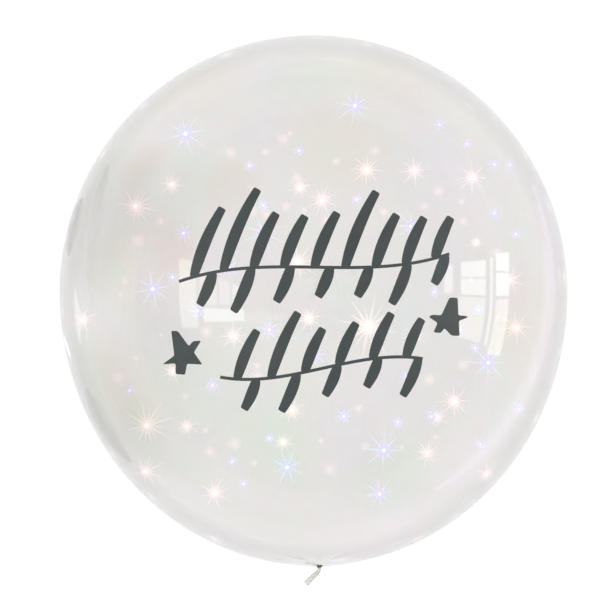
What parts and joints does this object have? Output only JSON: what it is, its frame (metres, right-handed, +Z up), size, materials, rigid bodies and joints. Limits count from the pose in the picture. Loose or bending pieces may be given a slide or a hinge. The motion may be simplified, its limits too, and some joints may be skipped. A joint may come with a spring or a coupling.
{
  "type": "clear bubble balloon",
  "caption": "Clear round bubble balloon lying on its back, neck tied with cord, tail bent over, slate vinyl stars and brush strokes on the upper side.",
  "frame": {"origin": "centre of the flat spot on the balloon's underside, where it rests on the floor", "axes": "+Z up, through the decorated side; +Y from the tied neck to the crown; +X to the right of the decoration"},
  "size_m": [0.572, 0.6214, 0.5694],
  "materials": {
    "clear_film": "clear glossy stretched plastic film",
    "tie_cord": "dull dark olive cord",
    "slate_vinyl": "matt slate grey cut vinyl"
  },
  "bodies": {
    "root": {"balloon_film": "clear_film", "neck_tie": "tie_cord", "star_left": "slate_vinyl", "star_right": "slate_vinyl", "strokes_upper": "slate_vinyl", "strokes_lower": "slate_vinyl"}
  },
  "joints": []
}
